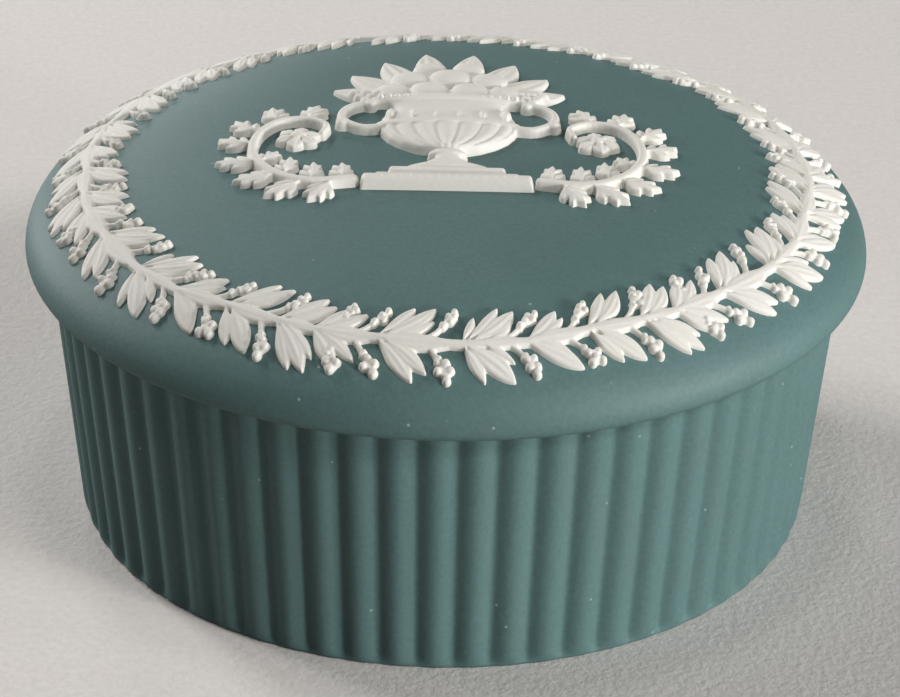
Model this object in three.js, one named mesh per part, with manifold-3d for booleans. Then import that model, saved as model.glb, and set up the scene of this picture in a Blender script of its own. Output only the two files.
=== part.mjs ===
// A round stoneware box with a domed lift-off lid. The pot has upright reeds all round, and
// white moulded relief is laid on the lid: a leaf-and-berry wreath in strips, and an urn
// between two scrolls of leaves in the middle.
// Millimetres, +Z up, the origin at the centre of the underside, the viewed front towards -Y.

import * as THREE from "three";
import { mergeVertices } from "three/addons/utils/BufferGeometryUtils.js";
import Module from "manifold-3d";

const wasm = await Module();
wasm.setup();

// Main sizes.
const LID_RADIUS = 55;
const WALL_HEIGHT = 35.5;
const FOOT_HEIGHT = 1;

// Pot wall and its reeds.
const LID_OVERHANG = 3;
const WALL_LEAN = 3.2;
const RIB_COUNT = 66;
const RIB_DEPTH = 0.75;
const RIB_STEPS = 4;
const RIB_TURN_DEG = -0.6;
const FOOT_BEVEL_HEIGHT = 1;
const FOOT_BEVEL_DEPTH = 0.7;
const WALL_TOP_RADIUS = LID_RADIUS - LID_OVERHANG;
const WALL_FOOT_RADIUS = WALL_TOP_RADIUS - WALL_LEAN;

// Upright lip that centres the lid, and the seat outside it.
const SEAT_WIDTH = 1.85;
const LIP_THICKNESS = 2.2;
const LIP_HEIGHT = 3;
const LIP_ROOT = 4;
const LIP_CHAMFER = 0.5;
const LIP_RADIUS = WALL_TOP_RADIUS - RIB_DEPTH - SEAT_WIDTH;
const BORE_RADIUS = LIP_RADIUS - LIP_THICKNESS;

// Floor, inner corner and the shallow hollow under the foot.
const FLOOR_THICKNESS = 4;
const CORNER_RADIUS = 5;
const FOOT_RING_WIDTH = 5.15;
const FOOT_WALL = 3.55;
const FLOOR_RADIUS = WALL_FOOT_RADIUS - RIB_DEPTH - FOOT_WALL;

// Lid shell: a flat underside on the seat, a rim that curls under, a full shoulder, a low dome.
const LID_CLEARANCE = 0.5;
const LID_HEADROOM = 0.6;
const LID_THICKNESS = 4;
const RIM_CURL_HEIGHT = 1.3;
const RIM_CURL_WIDTH = 0.9;
const DOME_RISE = 11.9;
const DOME_POWER = 3.6;
const LID_SKIRT_RADIUS = LIP_RADIUS + LID_CLEARANCE;
const RIM_HEIGHT = WALL_HEIGHT + RIM_CURL_HEIGHT;
const TURN_STEPS = 64;

// Relief laid on the lid.
const RELIEF_GAP = 0.3;
const SHOULDER_EDGE = 9.5;
const DOME_EDGE = 13;

// Wreath: a stem ring cut into strips from one mould, and a short strip that closes the ring.
const STEM_RADIUS = LID_RADIUS * 0.862;
const STRIP_COUNT = 6;
const STRIP_DEG = 55.2;
const STRIP_START_DEG = 2.5 - 90;
const STRIP_JOINT = 0.3;
const STEM_WIDTH = 0.8;
const LEAF_HEIGHT = 0.75;
const LEAF_EDGE = 0.4;
const BERRY_HEIGHT = 0.9;
const BERRY_HEAD_WIDTH = 2;

// How far a side leaf runs along under the stem before it parts from it.
const LEAF_LEAD = 0.9;

// The drawn lengths below are for a lid of 55 mm radius.
const WREATH_SCALE = LID_RADIUS / 55;

// Centre relief: an urn, and a spray on each side of it that ends at a rosette.
const URN_HEIGHT = 1.8;
const HANDLE_WIDTH = 1.5;
const SPRAY_HEIGHT = 1.2;
const SPRAY_STEM_WIDTH = 1.5;
const OUTER_LEAF_WIDTH = 3.8;
const INNER_LEAF_WIDTH = 3.2;
const ROSETTE_CENTRE = [19.5, 1.2];
const ROSETTE_RADIUS = 3.1;
const ROSETTE_PETALS = 6;
const ROSETTE_TURN_DEG = 160;
const PETAL_WIDTH = 2.5;
const EYE_RADIUS = 1.1;

// One wreath strip, along the stem and across it towards the rim. The stem's line swings a little.
const STEM = [
  [0, 0], [8, 0], [12, -0.4], [18, -0.9], [22, -0.6], [26, -0.3], [35, -0.45], [40, -0.4], [46, 0],
];

// Leaves that lie along the stem: start, end, width.
const SPINDLES = [
  [0, 9.4, 1.7], [7.6, 16.2, 2.3], [15, 24, 2.2], [22.4, 29.4, 1.7], [27.6, 36.2, 2.4], [34.8, 46, 2.6],
];

// Side leaves: where they part from the stem, the tip, and the width.
const LEAVES = [
  [0.3, [2.5, 4.8], 1.7], [0.8, [5.8, 4.8], 2.9], [1, [5.2, -5.8], 1.9], [1.6, [7.2, -5], 2.7],
  [8, [13.7, 4], 2.7], [8.3, [12.8, -4.4], 2.3],
  [16.3, [18.4, 4], 2.1], [17, [21.1, 4.3], 2.7], [16.2, [20.3, -6.1], 2.1], [17.2, [22.6, -5.9], 2.4],
  [23.6, [26.6, 4.9], 2.1], [24, [28.4, 4.9], 2.3], [23.4, [27.9, -5.5], 2.5], [24.2, [29.4, -4.5], 2.3],
  [28.3, [31.4, 3.6], 2.4], [28.8, [33.6, 3], 1.9], [28.3, [31.8, -4.4], 2.4], [29.3, [33.8, -3.9], 2],
  [36.2, [40.3, 4.7], 2.4], [36.8, [41.8, 3.8], 2.2], [36.2, [39.8, -5.7], 2.1], [36.8, [42.6, -5.7], 2.5],
];

// Berry clusters: where the stalk leaves the stem, and the middle of the berries.
const CLUSTERS = [
  [5.4, [8, 3.1]], [4.6, [8.8, -3.4]], [12, [15.3, 2.9]], [12, [16, -3.8]],
  [20.4, [22.6, 3.2]], [20.6, [24.4, -4.1]], [32.6, [35.5, 3.2]], [32.6, [35.7, -3.7]],
  [41, [43.7, 3.4]], [41, [44, -3.9]],
];

const TEAL = { color: "#4a6b66", roughness: 0.85, metalness: 0 };
const WHITE = { color: "#ded8cc", roughness: 0.8, metalness: 0 };

// Height of the lid's outer surface at a distance from the axis.
function lidHeight(radius) {
  const share = Math.min(1, radius / LID_RADIUS);
  return RIM_HEIGHT + DOME_RISE * Math.sqrt(1 - Math.pow(share, DOME_POWER));
}

// Slope of the lid's outer surface, rise over run along a radius.
function lidSlope(radius) {
  const step = 0.01;
  return (lidHeight(radius + step) - lidHeight(radius - step)) / (2 * step);
}

// Turns loose triangles into a closed solid that faces out.
function solidFrom(positions, triangles) {
  let volume = 0;
  const a = new THREE.Vector3();
  const b = new THREE.Vector3();
  const c = new THREE.Vector3();
  for (let i = 0; i < triangles.length; i += 3) {
    a.fromArray(positions, triangles[i] * 3);
    b.fromArray(positions, triangles[i + 1] * 3);
    c.fromArray(positions, triangles[i + 2] * 3);
    volume += a.dot(b.cross(c)) / 6;
  }
  const faces = [];
  for (let i = 0; i < triangles.length; i += 3) {
    const [p, q, r] = [triangles[i], triangles[i + 1], triangles[i + 2]];
    if (p === q || q === r || r === p) continue;
    faces.push(p, volume < 0 ? r : q, volume < 0 ? q : r);
  }
  return new wasm.Manifold(
    new wasm.Mesh({
      numProp: 3,
      vertProperties: new Float32Array(positions),
      triVerts: new Uint32Array(faces),
    }),
  );
}

function solidFromGeometry(geometry) {
  geometry.deleteAttribute("normal");
  geometry.deleteAttribute("uv");
  const merged = mergeVertices(geometry, 1e-4);
  return solidFrom(merged.getAttribute("position").array, merged.index.array);
}

// A solid turned about the vertical axis from a profile of [radius, height] points.
function turned(profile) {
  const points = profile.map(([radius, height]) => new THREE.Vector2(radius, height));
  const geometry = new THREE.LatheGeometry(points, TURN_STEPS);
  geometry.rotateX(Math.PI / 2);
  return solidFromGeometry(geometry);
}

function join(solids) {
  return solids.reduce((whole, next) => whole.add(next));
}

// Splits every edge longer than the limit at its middle, so that a flat sheet can be bent.
function splitLongEdges(positions, triangles, limit) {
  let points = Array.from(positions);
  let faces = Array.from(triangles);
  for (let pass = 0; pass < 8; pass += 1) {
    const middles = new Map();
    const middle = (p, q) => {
      const key = p < q ? `${p} ${q}` : `${q} ${p}`;
      const d = [0, 1, 2].map((k) => points[p * 3 + k] - points[q * 3 + k]);
      if (Math.hypot(...d) <= limit) return -1;
      if (!middles.has(key)) {
        middles.set(key, points.length / 3);
        for (let k = 0; k < 3; k += 1) points.push((points[p * 3 + k] + points[q * 3 + k]) / 2);
      }
      return middles.get(key);
    };
    const next = [];
    for (let i = 0; i < faces.length; i += 3) {
      const [p, q, r] = [faces[i], faces[i + 1], faces[i + 2]];
      const [u, v, w] = [middle(p, q), middle(q, r), middle(r, p)];
      const cut = (u >= 0) + (v >= 0) + (w >= 0);
      if (cut === 0) next.push(p, q, r);
      else if (cut === 3) next.push(p, u, w, u, q, v, w, v, r, u, v, w);
      else if (cut === 1 && u >= 0) next.push(p, u, r, u, q, r);
      else if (cut === 1 && v >= 0) next.push(p, q, v, p, v, r);
      else if (cut === 1) next.push(p, q, w, w, q, r);
      else if (u < 0) next.push(v, r, w, p, q, v, p, v, w);
      else if (v < 0) next.push(p, u, w, u, q, r, u, r, w);
      else next.push(u, q, v, p, u, v, p, v, r);
    }
    faces = next;
    if (middles.size === 0) break;
  }
  return { points, faces };
}

// A mesh from a solid that was made flat, with each point moved by the bend function.
function bentGeometry(solid, bend, longest) {
  const flat = solid.getMesh();
  const { points, faces } = splitLongEdges(flat.vertProperties, flat.triVerts, longest);
  const positions = new Float32Array(points.length);
  for (let i = 0; i < points.length; i += 3) {
    positions.set(bend(points[i], points[i + 1], points[i + 2]), i);
  }
  const geometry = new THREE.BufferGeometry();
  geometry.setAttribute("position", new THREE.BufferAttribute(positions, 3));
  geometry.setIndex(faces);
  return geometry;
}

function straightGeometry(solid) {
  const mesh = solid.getMesh();
  const geometry = new THREE.BufferGeometry();
  geometry.setAttribute("position", new THREE.BufferAttribute(new Float32Array(mesh.vertProperties), 3));
  geometry.setIndex(Array.from(mesh.triVerts));
  return geometry;
}

function named(name, geometry, look) {
  geometry.computeVertexNormals();
  const mesh = new THREE.Mesh(geometry, new THREE.MeshStandardMaterial(look));
  mesh.name = name;
  return mesh;
}

// How far a point of the wall stands back from the reed crests, for a place across one reed.
function reedSink(share) {
  return RIB_DEPTH * (1 - Math.cos(Math.PI * share));
}

// The pot's outside as a closed drum: a plain foot edge, then reeds up to the seat, leaning outwards.
function reededDrum() {
  const columns = RIB_COUNT * RIB_STEPS;
  const bevelTop = WALL_FOOT_RADIUS + (WALL_LEAN * FOOT_BEVEL_HEIGHT) / WALL_HEIGHT;
  const rings = [
    { radius: WALL_FOOT_RADIUS - FOOT_BEVEL_DEPTH, height: 0, reeds: 0 },
    { radius: bevelTop, height: FOOT_BEVEL_HEIGHT, reeds: 1 },
    { radius: WALL_TOP_RADIUS, height: WALL_HEIGHT, reeds: 1 },
  ];
  const positions = [];
  for (const { radius, height, reeds } of rings) {
    for (let i = 0; i < columns; i += 1) {
      const share = (i % RIB_STEPS) / RIB_STEPS - 0.5;
      const turns = (i / RIB_STEPS - 0.5) / RIB_COUNT;
      const angle = THREE.MathUtils.degToRad(RIB_TURN_DEG + 360 * turns);
      const reach = radius - reeds * reedSink(share);
      positions.push(reach * Math.sin(angle), -reach * Math.cos(angle), height);
    }
  }
  positions.push(0, 0, 0, 0, 0, WALL_HEIGHT);
  const topRing = (rings.length - 1) * columns;
  const bottomCentre = rings.length * columns;
  const triangles = [];
  for (let i = 0; i < columns; i += 1) {
    const j = (i + 1) % columns;
    for (let ring = 0; ring < topRing; ring += columns) {
      const above = ring + columns;
      triangles.push(ring + i, ring + j, above + j, ring + i, above + j, above + i);
    }
    triangles.push(j, i, bottomCentre, topRing + i, topRing + j, bottomCentre + 1);
  }
  return solidFrom(positions, triangles);
}

function pot() {
  const lipTop = WALL_HEIGHT + LIP_HEIGHT;
  const lip = turned([
    [0, WALL_HEIGHT - LIP_ROOT],
    [LIP_RADIUS, WALL_HEIGHT - LIP_ROOT],
    [LIP_RADIUS, lipTop - LIP_CHAMFER],
    [LIP_RADIUS - LIP_CHAMFER, lipTop],
    [0, lipTop],
  ]);
  const corner = [];
  for (let i = 0; i <= 3; i += 1) {
    const turn = (i / 3) * (Math.PI / 2);
    corner.push([
      FLOOR_RADIUS - CORNER_RADIUS * (1 - Math.sin(turn)),
      FLOOR_THICKNESS + FOOT_HEIGHT + CORNER_RADIUS * (1 - Math.cos(turn)),
    ]);
  }
  const inside = turned([
    [0, FLOOR_THICKNESS + FOOT_HEIGHT],
    ...corner,
    [BORE_RADIUS, WALL_HEIGHT],
    [BORE_RADIUS, lipTop + 1],
    [0, lipTop + 1],
  ]);
  const hollowRadius = WALL_FOOT_RADIUS - RIB_DEPTH - FOOT_RING_WIDTH;
  const underside = turned([
    [0, -1],
    [hollowRadius + 1, -1],
    [hollowRadius, 0],
    [hollowRadius - FOOT_HEIGHT, FOOT_HEIGHT],
    [0, FOOT_HEIGHT],
  ]);
  return reededDrum().add(lip).subtract(inside).subtract(underside);
}

function lid() {
  const profile = [];
  for (const degrees of [90, 77, 64, 51, 38, 25, 12, 0]) {
    const lift = THREE.MathUtils.degToRad(degrees);
    const radius = degrees === 90 ? 0 : LID_RADIUS * Math.pow(Math.cos(lift), 2 / DOME_POWER);
    profile.push([radius, RIM_HEIGHT + DOME_RISE * Math.sin(lift)]);
  }
  profile.push([LID_RADIUS - RIM_CURL_WIDTH * 0.3, RIM_HEIGHT - RIM_CURL_HEIGHT * 0.7]);
  profile.push([LID_RADIUS - RIM_CURL_WIDTH, WALL_HEIGHT]);
  profile.push([LID_SKIRT_RADIUS, WALL_HEIGHT]);
  profile.push([LID_SKIRT_RADIUS, WALL_HEIGHT + LIP_HEIGHT + LID_HEADROOM]);
  for (const share of [0.84, 0.66, 0.4, 0]) {
    const radius = LID_RADIUS * share;
    profile.push([radius, lidHeight(radius) - LID_THICKNESS]);
  }
  return turned(profile);
}

// A low convex piece of relief: a flat back, upright edges, and a top that rises to a point.
function mound(outline, edge, peak) {
  const count = outline.length;
  const positions = [];
  for (const [x, y] of outline) positions.push(x, y, 0);
  for (const [x, y] of outline) positions.push(x, y, edge);
  positions.push(...peak);
  const triangles = [];
  for (let i = 0; i < count; i += 1) {
    const j = (i + 1) % count;
    triangles.push(i, j, count + j, i, count + j, count + i);
    triangles.push(count + i, count + j, 2 * count);
    if (i > 0 && j > 0) triangles.push(0, j, i);
  }
  return solidFrom(positions, triangles);
}

// A pointed leaf from its foot to its tip, with a rise along the middle.
function leaf(foot, tip, width, edge, height) {
  const along = [tip[0] - foot[0], tip[1] - foot[1]];
  const length = Math.hypot(...along);
  const side = [(-along[1] / length) * width * 0.5, (along[0] / length) * width * 0.5];
  const middle = [foot[0] + along[0] * 0.55, foot[1] + along[1] * 0.55];
  const outline = [
    foot,
    [middle[0] - side[0], middle[1] - side[1]],
    tip,
    [middle[0] + side[0], middle[1] + side[1]],
  ];
  return mound(outline, edge, [middle[0], middle[1], height]);
}

function berry(x, y, radius, sides, edge, height) {
  const outline = [];
  for (let i = 0; i < sides; i += 1) {
    const turn = ((i + 0.3) / sides) * 2 * Math.PI;
    outline.push([x + radius * Math.cos(turn), y + radius * Math.sin(turn)]);
  }
  return mound(outline, edge, [x, y, height]);
}

// Two points beside a place: one on each side of a direction, and on along it.
function pairBeside([x, y], [alongX, alongY], halfWidth, ahead) {
  const [midX, midY] = [x + alongX * ahead, y + alongY * ahead];
  return [
    [midX + alongY * halfWidth, midY - alongX * halfWidth],
    [midX - alongY * halfWidth, midY + alongX * halfWidth],
  ];
}

// A cluster of berries on its stalk, as one drop from the stem to the blunt head.
function berryStalk(root, head, width) {
  const length = Math.hypot(head[0] - root[0], head[1] - root[1]);
  const along = [(head[0] - root[0]) / length, (head[1] - root[1]) / length];
  const [headRight, headLeft] = pairBeside(head, along, width * 0.5, -width * 0.1);
  const [tipRight, tipLeft] = pairBeside(head, along, width * 0.25, width * 0.6);
  const outline = [root, headRight, tipRight, tipLeft, headLeft];
  return mound(outline, LEAF_EDGE, [...head, BERRY_HEIGHT]);
}

// A straight bar of relief between two points.
function bar(from, to, width, edge, height) {
  const along = [to[0] - from[0], to[1] - from[1]];
  const length = Math.hypot(...along);
  const side = [(-along[1] / length) * width * 0.5, (along[0] / length) * width * 0.5];
  const outline = [
    [from[0] - side[0], from[1] - side[1]],
    [to[0] - side[0], to[1] - side[1]],
    [to[0] + side[0], to[1] + side[1]],
    [from[0] + side[0], from[1] + side[1]],
  ];
  return mound(outline, edge, [(from[0] + to[0]) / 2, (from[1] + to[1]) / 2, height]);
}

// How far the stem's line lies from the middle of a strip, towards the rim.
function stemSwing(along) {
  const next = Math.max(1, STEM.findIndex(([x]) => x >= along));
  const [[x0, y0], [x1, y1]] = [STEM[next - 1], STEM[next]];
  return y0 + ((y1 - y0) * (along - x0)) / (x1 - x0);
}

// The leaf that lies along the stem from one node to the next.
function spindle([startX, startY], [stopX, stopY], width) {
  const half = STEM_WIDTH / 2;
  const [middleX, middleY] = [(startX + stopX) / 2, (startY + stopY) / 2];
  const outline = [
    [startX, startY - half],
    [middleX, middleY - width / 2],
    [stopX, stopY - half],
    [stopX, stopY + half],
    [middleX, middleY + width / 2],
    [startX, startY + half],
  ];
  return mound(outline, LEAF_EDGE, [middleX, middleY, LEAF_HEIGHT]);
}

// One wreath strip of some degrees, laid flat: along the stem, across it towards the lid's
// centre, and up. A leaf or a cluster that would run past the end is left out.
function flatStrip(degrees) {
  const length = STEM_RADIUS * THREE.MathUtils.degToRad(degrees) - STRIP_JOINT;
  const place = ([along, across]) => [along * WREATH_SCALE, -across * WREATH_SCALE];
  const onStem = (along) => place([along, stemSwing(along)]);
  const solids = [];
  for (const [start, stop, width] of SPINDLES) {
    const end = Math.min(stop, length / WREATH_SCALE);
    if (start < end) solids.push(spindle(onStem(start), onStem(end), width * WREATH_SCALE));
  }
  for (const [foot, tip, width] of LEAVES) {
    if (place(tip)[0] > length) continue;
    const root = onStem(Math.max(0, foot - LEAF_LEAD));
    solids.push(leaf(root, place(tip), width * WREATH_SCALE, LEAF_EDGE, LEAF_HEIGHT));
  }
  for (const [foot, head] of CLUSTERS) {
    if (place(head)[0] + BERRY_HEAD_WIDTH * 0.6 > length) continue;
    solids.push(berryStalk(onStem(foot), place(head), BERRY_HEAD_WIDTH * WREATH_SCALE));
  }
  return join(solids);
}

// Bends a flat strip round the lid's shoulder, starting at an angle.
function bendRound(startDegrees) {
  return (along, across, up) => {
    const angle = THREE.MathUtils.degToRad(startDegrees) + along / STEM_RADIUS;
    const radius = STEM_RADIUS - across;
    const slope = lidSlope(radius);
    const normal = 1 / Math.hypot(1, slope);
    const lift = RELIEF_GAP + up;
    const reach = radius - slope * normal * lift;
    return [reach * Math.cos(angle), reach * Math.sin(angle), lidHeight(radius) + normal * lift];
  };
}

function wreath() {
  const meshes = [];
  const full = flatStrip(STRIP_DEG);
  for (let i = 0; i < STRIP_COUNT; i += 1) {
    const start = STRIP_START_DEG + (i - 3) * STRIP_DEG;
    meshes.push(named(`wreath_strip_${i + 1}`, bentGeometry(full, bendRound(start), SHOULDER_EDGE), WHITE));
  }
  const short = flatStrip(360 - STRIP_COUNT * STRIP_DEG);
  const start = STRIP_START_DEG + (STRIP_COUNT - 3) * STRIP_DEG;
  meshes.push(named("wreath_strip_short", bentGeometry(short, bendRound(start), SHOULDER_EDGE), WHITE));
  return meshes;
}

// Lays flat relief on the dome.
function layOnDome(x, y, up) {
  return [x, y, lidHeight(Math.hypot(x, y)) + RELIEF_GAP + up];
}

// A low relief piece from an outline in the urn's own sizes. Heights are shares of the urn's height.
function urnPiece(outline, edgeShare, middle, peakShare) {
  const points = outline.map(([x, y]) => [x * WREATH_SCALE, y * WREATH_SCALE]);
  const peak = [0, middle * WREATH_SCALE, URN_HEIGHT * peakShare];
  return mound(points, URN_HEIGHT * edgeShare, peak);
}

// A footed urn on a stepped plinth, with two handles, a heap of fruit and a fan of leaves.
function urn() {
  const k = WREATH_SCALE;
  const solids = [
    urnPiece([[-11, -13], [11, -13], [11, -10.6], [-11, -10.6]], 0.7, -11.8, 0.8),
    urnPiece([[-9.4, -10.8], [9.4, -10.8], [9.4, -9.6], [-9.4, -9.6]], 0.55, -10.2, 0.65),
    urnPiece([[-7.6, -9.8], [7.6, -9.8], [7.6, -8.2], [-7.6, -8.2]], 0.6, -9, 0.7),
    urnPiece([[-5.6, -8.4], [5.6, -8.4], [1.8, -5.4], [-1.8, -5.4]], 0.4, -7.4, 0.7),
    urnPiece([[-2, -5.8], [2, -5.8], [2, -2.6], [-2, -2.6]], 0.4, -4, 0.75),
    urnPiece(
      [[-2, -2.9], [2, -2.9], [6.2, -0.6], [8.8, 3.2], [9.6, 5.7], [-9.6, 5.7], [-8.8, 3.2], [-6.2, -0.6]],
      0.4,
      2.6,
      1,
    ),
    urnPiece(
      [[-9.2, 5.4], [9.2, 5.4], [7.2, 10.4], [8.6, 12.6], [-8.6, 12.6], [-7.2, 10.4]],
      0.45,
      8.4,
      0.9,
    ),
    urnPiece([[-10.2, 12.3], [10.2, 12.3], [10.2, 13.9], [-10.2, 13.9]], 0.75, 13.1, 1),
  ];
  const handle = [[8.6, 4.6], [11.4, 4.4], [13.8, 6.6], [14, 9.2], [12.6, 11.4], [9.6, 12.8]];
  for (const side of [-1, 1]) {
    for (let i = 1; i < handle.length; i += 1) {
      const [from, to] = [handle[i - 1], handle[i]].map(([x, y]) => [side * x * k, y * k]);
      solids.push(bar(from, to, HANDLE_WIDTH, URN_HEIGHT * 0.4, URN_HEIGHT * 0.6));
    }
  }
  for (const [x, y, radius] of [
    [-7.4, 16.2, 2.5], [-2.6, 16.4, 2.8], [2.8, 16.2, 2.8], [7.4, 16, 2.4],
    [-5.2, 20.4, 2.7], [0.2, 20.8, 3], [5.4, 20.2, 2.6],
    [-2.7, 24.8, 2.3], [2.6, 24.9, 2.3],
  ]) {
    solids.push(berry(x * k, y * k, radius * k, 6, URN_HEIGHT * 0.5, URN_HEIGHT * 0.9));
  }
  for (const [x, y] of [[3.3, 32.4], [9, 28.6], [13.4, 23.2], [15.6, 17.6]]) {
    for (const side of [-1, 1]) {
      const tip = [side * x * k, y * k];
      solids.push(leaf([tip[0] * 0.25, 14.5 * k], tip, 4.8 * k, URN_HEIGHT * 0.3, URN_HEIGHT * 0.55));
    }
  }
  return join(solids);
}

// A scroll of leaves that leaves the plinth, curls up and in, and ends at a rosette.
function spray(side) {
  const place = ([x, y]) => [side * x * WREATH_SCALE, y * WREATH_SCALE];
  const edge = SPRAY_HEIGHT * 0.5;
  const solids = [];
  const addLeaf = (foot, tip, width) => {
    solids.push(leaf(place(foot), place(tip), width * WREATH_SCALE, edge, SPRAY_HEIGHT));
  };
  const stem = [
    [12, -11.6], [17.4, -12.3], [22, -9.8], [24.9, -4.8], [25, 1], [22.6, 5.6], [18.8, 6.8], [16, 4.8],
    [16.4, 2.2],
  ];
  for (let i = 1; i < stem.length; i += 1) {
    solids.push(bar(place(stem[i - 1]), place(stem[i]), SPRAY_STEM_WIDTH, edge, SPRAY_HEIGHT));
  }
  for (const [foot, tip] of [
    [[14.4, -12], [17.6, -16.8]], [[18, -12], [23.2, -15.4]], [[21.4, -10.2], [27.4, -11.2]],
    [[24, -6.4], [30, -5.6]], [[25, -1.4], [30, 1.6]], [[24.6, 2.4], [28.2, 7.4]],
    [[22.2, 5.8], [23.4, 11.6]], [[18.6, 6.8], [17, 12]],
  ]) {
    addLeaf(foot, tip, OUTER_LEAF_WIDTH);
  }
  for (const [foot, tip] of [
    [[13.4, -11.8], [13.6, -6.2]], [[17.4, -12.2], [17.2, -6]], [[21, -10.4], [20.2, -4.4]],
    [[24.2, -6.2], [21.8, -2.8]],
  ]) {
    addLeaf(foot, tip, INNER_LEAF_WIDTH);
  }
  const [roseX, roseY] = ROSETTE_CENTRE;
  for (let i = 0; i < ROSETTE_PETALS; i += 1) {
    const turn = THREE.MathUtils.degToRad(ROSETTE_TURN_DEG + (i * 360) / ROSETTE_PETALS);
    const tip = [roseX + ROSETTE_RADIUS * Math.cos(turn), roseY + ROSETTE_RADIUS * Math.sin(turn)];
    addLeaf([roseX, roseY], tip, PETAL_WIDTH);
  }
  const eyeRadius = EYE_RADIUS * WREATH_SCALE;
  solids.push(berry(...place(ROSETTE_CENTRE), eyeRadius, 6, SPRAY_HEIGHT * 0.7, SPRAY_HEIGHT));
  return join(solids);
}

const box = new THREE.Group();
box.name = "lidded_round_box";

const body = new THREE.Group();
body.name = "body";
body.add(named("pot", straightGeometry(pot()), TEAL));

const cover = new THREE.Group();
cover.name = "cover";
cover.add(named("lid", straightGeometry(lid()), TEAL));
for (const strip of wreath()) cover.add(strip);
cover.add(named("relief_urn", bentGeometry(urn(), layOnDome, DOME_EDGE), WHITE));
cover.add(named("relief_spray_left", bentGeometry(spray(-1), layOnDome, DOME_EDGE), WHITE));
cover.add(named("relief_spray_right", bentGeometry(spray(1), layOnDome, DOME_EDGE), WHITE));

box.add(body, cover);

export default box;
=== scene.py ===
"""A round stoneware box with a reeded wall, a domed lid and white moulded relief."""

import math

import bpy
import numpy as np
from mathutils import Matrix, Vector


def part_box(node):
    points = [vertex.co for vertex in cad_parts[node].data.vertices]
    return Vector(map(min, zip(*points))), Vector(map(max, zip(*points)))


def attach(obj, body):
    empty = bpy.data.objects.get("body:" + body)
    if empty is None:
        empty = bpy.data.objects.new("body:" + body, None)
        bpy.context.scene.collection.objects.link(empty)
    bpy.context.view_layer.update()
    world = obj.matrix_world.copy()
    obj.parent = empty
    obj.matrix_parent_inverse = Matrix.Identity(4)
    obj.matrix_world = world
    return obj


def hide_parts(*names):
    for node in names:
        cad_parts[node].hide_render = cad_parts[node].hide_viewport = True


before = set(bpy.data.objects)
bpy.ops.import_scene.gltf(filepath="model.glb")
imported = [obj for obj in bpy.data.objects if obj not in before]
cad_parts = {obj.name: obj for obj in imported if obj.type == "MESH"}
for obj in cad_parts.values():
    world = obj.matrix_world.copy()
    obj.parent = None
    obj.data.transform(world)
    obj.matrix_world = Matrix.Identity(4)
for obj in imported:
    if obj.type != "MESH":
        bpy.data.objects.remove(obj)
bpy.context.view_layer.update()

MM = 0.001

# Driving sizes, read from the CAD solids. Lengths are in millimetres, unless a comment says otherwise.
lid_low, lid_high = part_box("lid")
_, pot_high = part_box("pot")
LID_RADIUS = (lid_high[0] - lid_low[0]) / 2 / MM
WALL_HEIGHT = lid_low[2] / MM
LID_TOP = lid_high[2] / MM
POT_TOP = pot_high[2] / MM

# Where a turned piece's profile stops short of the axis.
AXIS_RADIUS = 0.05

# Pot wall and its reeds.
LID_OVERHANG = 3
WALL_LEAN = 3.2
WALL_TOP_RADIUS = LID_RADIUS - LID_OVERHANG
WALL_FOOT_RADIUS = WALL_TOP_RADIUS - WALL_LEAN
RIB_COUNT = 66
RIB_DEPTH = 0.75
RIB_TURN = math.radians(-0.6)
RIB_STEPS = 16
VALLEY_ROUND = 0.22
WALL_EDGE = 0.4
WALL_RINGS = 8

# How the reeds rise out of the plain foot edge: heights, and the share of their depth reached there.
REED_START = [(0.25, 0.25), (0.5, 0.45), (0.8, 0.68), (1.2, 0.88), (1.8, 1)]
REED_START_INSET = 0.25

# Seat, and the upright lip inside it.
SEAT_WIDTH = 1.85
SEAT_FLAT_FROM = 1.2
LIP_THICKNESS = 2.2
LIP_ROOT = 0.25
LIP_STRAIGHT = 1.2
LIP_ROUND = 0.7
LIP_RADIUS = WALL_TOP_RADIUS - RIB_DEPTH - SEAT_WIDTH
BORE_RADIUS = LIP_RADIUS - LIP_THICKNESS

# Floor, inner corner, and the hollow under the foot with the ring that the pot stands on. The values
# in brackets only divide a flat stretch into rings.
FLOOR_THICKNESS = 4
FOOT_HEIGHT = 1
FLOOR_TOP = FOOT_HEIGHT + FLOOR_THICKNESS
CORNER_RADIUS = 5
FOOT_WALL = 3.55
FOOT_RING_WIDTH = 5.15
FLOOR_RADIUS = WALL_FOOT_RADIUS - RIB_DEPTH - FOOT_WALL
HOLLOW_RADIUS = WALL_FOOT_RADIUS - RIB_DEPTH - FOOT_RING_WIDTH
HOLLOW_ROUND = 0.8
RING_ROUND = 0.5
RING_INSET = 0.2
RING_INSETS = (3.2, 1.6)
FOOT_EDGE = 0.25
FOOT_INSET = 0.3
FLOOR_RINGS = (30, 18, 8)
HOLLOW_RINGS = (12, 24, 34)
HOLLOW_EDGE = 2.2

# Lid shell.
RIM_CURL_HEIGHT = 1.3
RIM_CURL_WIDTH = 0.9
RIM_HEIGHT = WALL_HEIGHT + RIM_CURL_HEIGHT
DOME_RISE = LID_TOP - RIM_HEIGHT
DOME_POWER = 3.6
LID_THICKNESS = 4
LID_CLEARANCE = 0.5
LID_HEADROOM = 0.6
SKIRT_RADIUS = LIP_RADIUS + LID_CLEARANCE
SKIRT_CHAMFER = 0.3
UNDERSIDE_WIDTH = 2
SHOULDER_DROP = 0.8
SHOULDER_FOOT = POT_TOP + LID_HEADROOM - SHOULDER_DROP
SHOULDER_SHARE = 0.84
DOME_RINGS = 44
CURL_RINGS = 8
SHOULDER_RINGS = 6
INSIDE_RINGS = 12
LID_COLUMNS = 384

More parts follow.
